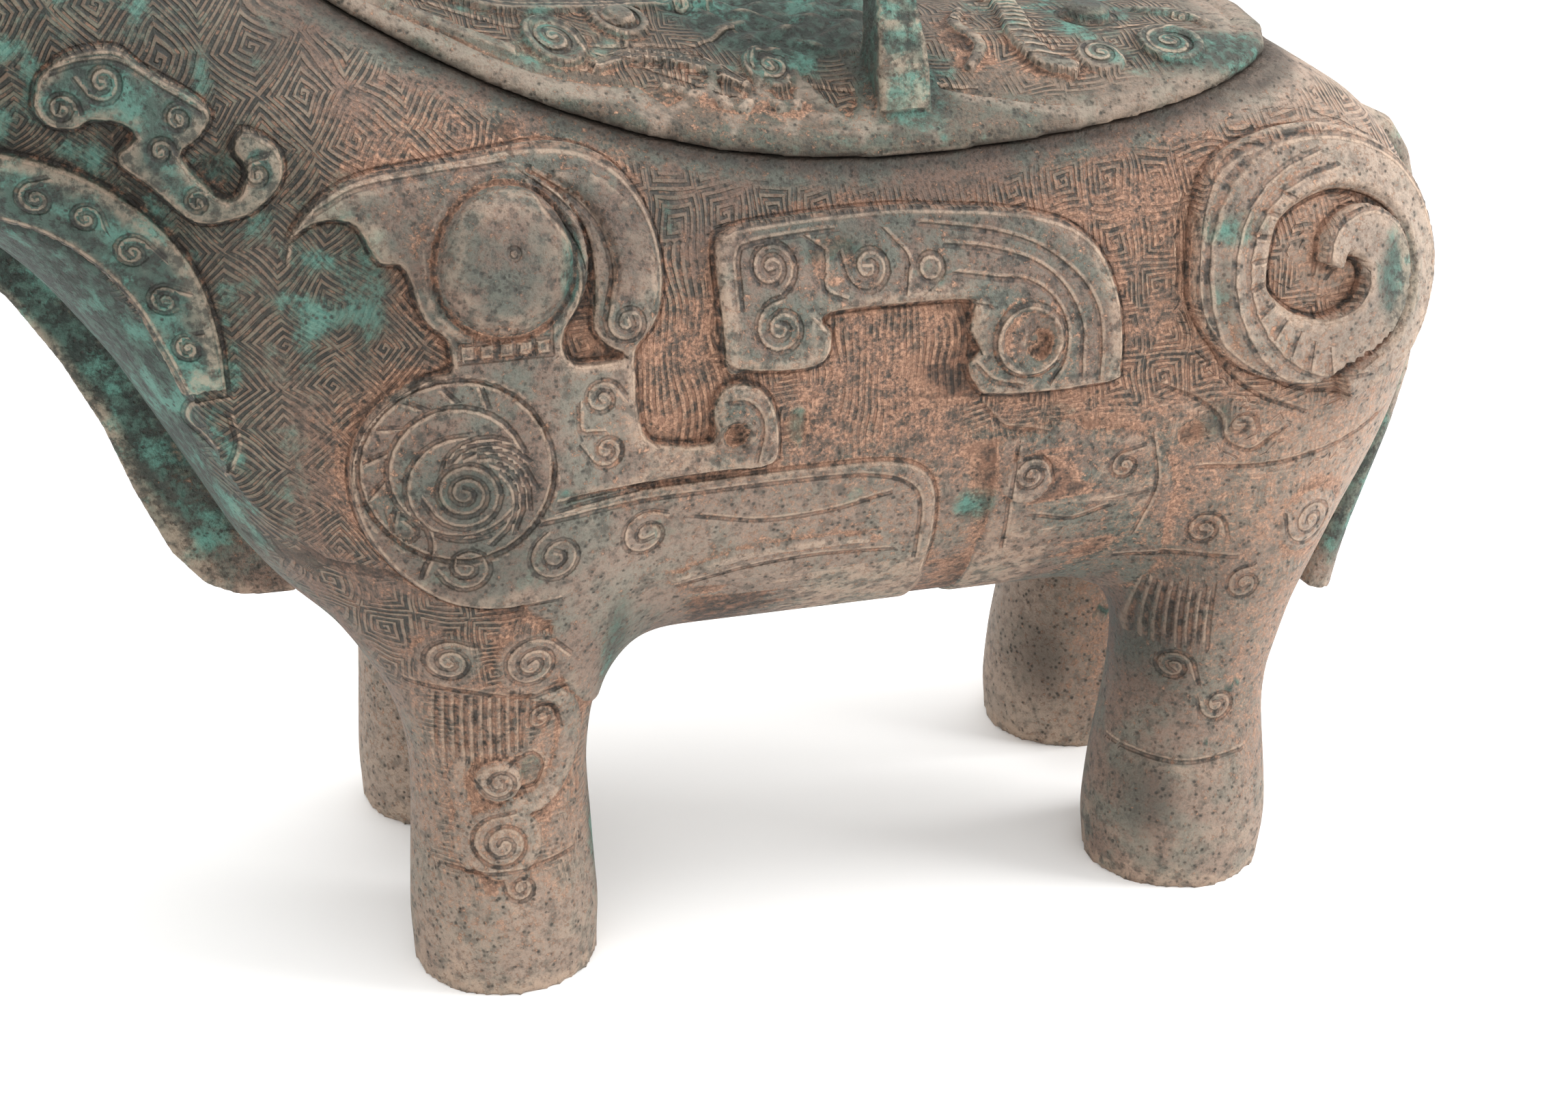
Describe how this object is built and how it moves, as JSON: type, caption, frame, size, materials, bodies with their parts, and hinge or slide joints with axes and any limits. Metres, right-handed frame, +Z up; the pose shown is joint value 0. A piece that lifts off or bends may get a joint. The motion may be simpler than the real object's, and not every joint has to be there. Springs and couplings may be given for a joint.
{
  "type": "animal-shaped bronze zun vessel",
  "caption": "Bronze wine vessel in the form of a standing buffalo, hollow body open along the back under a lift-off saddle-shaped lid with an arched handle.",
  "frame": {"origin": "on the ground under the middle of the bounding box", "axes": "+X from the muzzle towards the tail, +Y to the beast's right side, +Z up"},
  "size_m": [0.4036, 0.1144, 0.2235],
  "materials": {
    "vessel_bronze": "matte grey-green and tan patina",
    "lid_bronze": "matte green patina"
  },
  "bodies": {
    "root": {"vessel": "vessel_bronze", "lid": "lid_bronze"}
  },
  "joints": []
}
